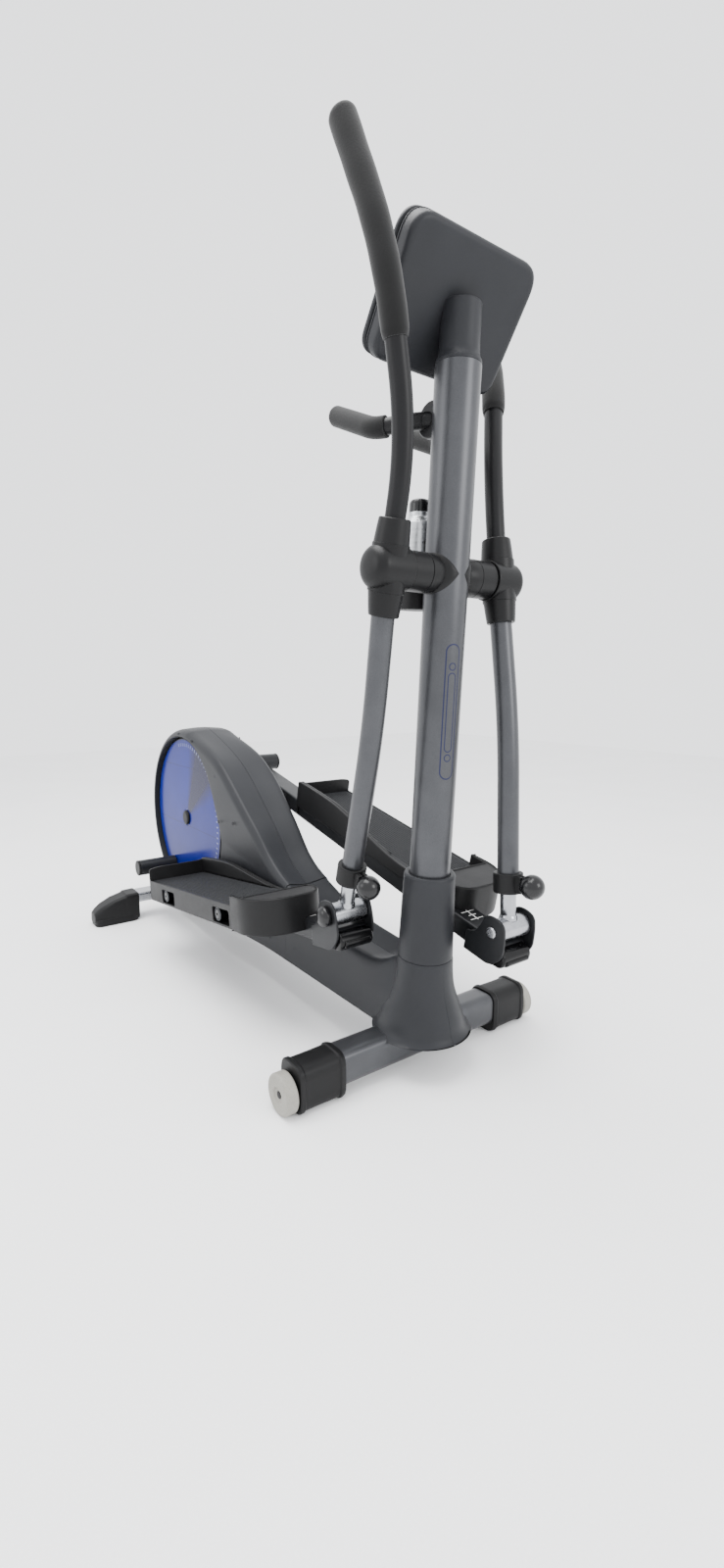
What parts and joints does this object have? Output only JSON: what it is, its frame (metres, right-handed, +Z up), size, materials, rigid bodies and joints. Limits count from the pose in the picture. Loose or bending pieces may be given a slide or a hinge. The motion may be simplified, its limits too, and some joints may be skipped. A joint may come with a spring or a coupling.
{
  "type": "elliptical trainer",
  "caption": "Front-drive elliptical trainer with swinging arm handles, crank discs in a teardrop casing, sliding footplates, console and fixed handlebar",
  "frame": {"origin": "on the floor, midway along the length and on the mid-plane between the two sides", "axes": "+X towards the mast and the front stabilizer, +Y to the left of a user who faces the console, +Z up"},
  "size_m": [1.5048, 0.662, 1.5441],
  "materials": {
    "grey_paint": "semi-gloss grey powder coat",
    "casing_plastic": "fine-grained dark grey moulding",
    "black_plastic": "satin black moulding",
    "black_paint": "satin black powder coat",
    "steel": "bright drawn steel",
    "blue_disc": "high-gloss moulding",
    "foam": "closed-cell foam sleeve",
    "wheel": "plain light grey moulding",
    "lens": "clear window"
  },
  "bodies": {
    "frame": {"base_frame": "grey_paint", "front_stabilizer": "grey_paint", "rear_stabilizer": "steel", "rear_end_cap_right": "black_plastic", "rear_end_cap_left": "black_plastic", "front_end_cap_right": "black_plastic", "front_end_cap_left": "black_plastic", "mast": "grey_paint", "mast_collar": "casing_plastic", "rear_casing_right": "casing_plastic", "rear_casing_left": "casing_plastic", "front_casing_right": "casing_plastic", "front_casing_left": "casing_plastic", "pivot_axle": "steel", "hub_cover_right": "black_plastic", "hub_cover_left": "black_plastic", "crank_bearing_right": "steel", "crank_bearing_left": "steel", "flywheel_axle": "steel", "drive_belt": "foam", "brake_servo": "black_plastic", "console_housing": "casing_plastic", "console_lens": "lens", "fixed_handlebar": "black_paint", "handlebar_grip_right": "foam", "handlebar_grip_left": "foam", "bottle_cage": "black_plastic"},
    "cranks": {"crank_axle": "steel", "crank_disc_right": "blue_disc", "crank_disc_left": "blue_disc", "drive_pulley": "black_plastic"},
    "flywheel": {"flywheel": "steel"},
    "magnet_brake": {"magnet_brake": "steel"},
    "drink_bottle": {"drink_bottle": "steel"},
    "handle_right": {"handle_tube_right": "grey_paint", "upper_handle_right": "black_paint", "foam_grip_right": "foam", "hub_shroud_right": "black_plastic", "clamp_collar_right": "black_plastic"},
    "clamp_knob_right": {"clamp_knob_right": "foam"},
    "lower_link_right": {"lower_link_right": "steel"},
    "pedal_arm_right": {"pedal_arm_right": "grey_paint", "crank_pin_right": "black_plastic", "clevis_pin_right": "black_plastic"},
    "footplate_right": {"footplate_right": "black_plastic"},
    "transport_wheel_right": {"transport_wheel_right": "wheel"},
    "console_key_right": {"console_key_right": "black_plastic"},
    "handle_left": {"handle_tube_left": "grey_paint", "upper_handle_left": "black_paint", "foam_grip_left": "foam", "hub_shroud_left": "black_plastic", "clamp_collar_left": "black_plastic"},
    "clamp_knob_left": {"clamp_knob_left": "foam"},
    "lower_link_left": {"lower_link_left": "steel"},
    "pedal_arm_left": {"pedal_arm_left": "grey_paint", "crank_pin_left": "black_plastic", "clevis_pin_left": "black_plastic"},
    "footplate_left": {"footplate_left": "black_plastic"},
    "transport_wheel_left": {"transport_wheel_left": "wheel"},
    "console_key_left": {"console_key_left": "black_plastic"}
  },
  "joints": [
    {"name": "crank_turn", "type": "hinge", "parent": "frame", "child": "cranks", "pos_m": [-0.47444, 0, 0.332], "axis": [0, 1, 0], "continuous": true},
    {"name": "flywheel_spin", "type": "hinge", "parent": "frame", "child": "flywheel", "pos_m": [-0.15444, 0, 0.262], "axis": [0, 1, 0], "continuous": true},
    {"name": "brake_shoe_swing", "type": "hinge", "parent": "frame", "child": "magnet_brake", "pos_m": [-0.02125, 0, 0.28072], "axis": [0, 1, 0], "range_deg": [0, 5]},
    {"name": "handle_right_swing", "type": "hinge", "parent": "frame", "child": "handle_right", "pos_m": [0.60812, -0.13, 0.933], "axis": [0, 1, 0], "range_deg": [-26, 0.6]},
    {"name": "link_right_slide", "type": "slide", "parent": "handle_right", "child": "lower_link_right", "axis": [0.2716, -0.0294, 0.962], "range_m": [-0.015, 0.03]},
    {"name": "pedal_arm_right_pivot", "type": "hinge", "parent": "lower_link_right", "child": "pedal_arm_right", "pos_m": [0.4575, -0.111, 0.3048], "axis": [0, 1, 0], "range_deg": [-0.79, 30]},
    {"name": "footplate_right_slide", "type": "slide", "parent": "pedal_arm_right", "child": "footplate_right", "axis": [0.9908, 0.0132, 0.1349], "range_m": [-0.05, 0]},
    {"name": "clamp_knob_right_turn", "type": "hinge", "parent": "handle_right", "child": "clamp_knob_right", "pos_m": [0.4814, -0.11359, 0.38946], "axis": [0.9624, 0.0006, -0.2717], "range_deg": [0, 720]},
    {"name": "transport_wheel_right_roll", "type": "hinge", "parent": "frame", "child": "transport_wheel_right", "pos_m": [0.54256, -0.303, 0.0375], "axis": [0, 1, 0], "continuous": true},
    {"name": "console_key_right_press", "type": "slide", "parent": "frame", "child": "console_key_right", "axis": [-0.7807, 0, 0.6249], "range_m": [-0.0015, 0], "stiffness_N_per_m": 400},
    {"name": "handle_left_swing", "type": "hinge", "parent": "frame", "child": "handle_left", "pos_m": [0.60812, 0.13, 0.933], "axis": [0, 1, 0], "range_deg": [-0.6, 26]},
    {"name": "link_left_slide", "type": "slide", "parent": "handle_left", "child": "lower_link_left", "axis": [-0.0695, 0.0294, 0.9972], "range_m": [-0.03, 0.015]},
    {"name": "pedal_arm_left_pivot", "type": "hinge", "parent": "lower_link_left", "child": "pedal_arm_left", "pos_m": [0.67867, 0.111, 0.29086], "axis": [0, 1, 0], "range_deg": [-31.3, 0.82]},
    {"name": "footplate_left_slide", "type": "slide", "parent": "pedal_arm_left", "child": "footplate_left", "axis": [0.9798, -0.0132, -0.1995], "range_m": [-0.05, 0]},
    {"name": "clamp_knob_left_turn", "type": "hinge", "parent": "handle_left", "child": "clamp_knob_left", "pos_m": [0.67256, 0.11359, 0.37861], "axis": [0.9976, -0.0006, 0.0695], "range_deg": [0, 720]},
    {"name": "transport_wheel_left_roll", "type": "hinge", "parent": "frame", "child": "transport_wheel_left", "pos_m": [0.54256, 0.303, 0.0375], "axis": [0, 1, 0], "continuous": true},
    {"name": "console_key_left_press", "type": "slide", "parent": "frame", "child": "console_key_left", "axis": [-0.7807, 0, 0.6249], "range_m": [-0.0015, 0], "stiffness_N_per_m": 400},
    {"name": "bottle_lift", "type": "slide", "parent": "frame", "child": "drink_bottle", "axis": [0.055, 0, 0.9985], "range_m": [0, 0.09]}
  ],
  "couplings": [
    {"joint": "flywheel_spin", "follows": "crank_turn", "ratio": 6},
    {"joint": "pedal_arm_right_pivot", "follows": "handle_right_swing", "ratio": -1.15},
    {"joint": "handle_left_swing", "follows": "handle_right_swing", "ratio": -1},
    {"joint": "pedal_arm_left_pivot", "follows": "handle_right_swing", "ratio": 1.2}
  ]
}
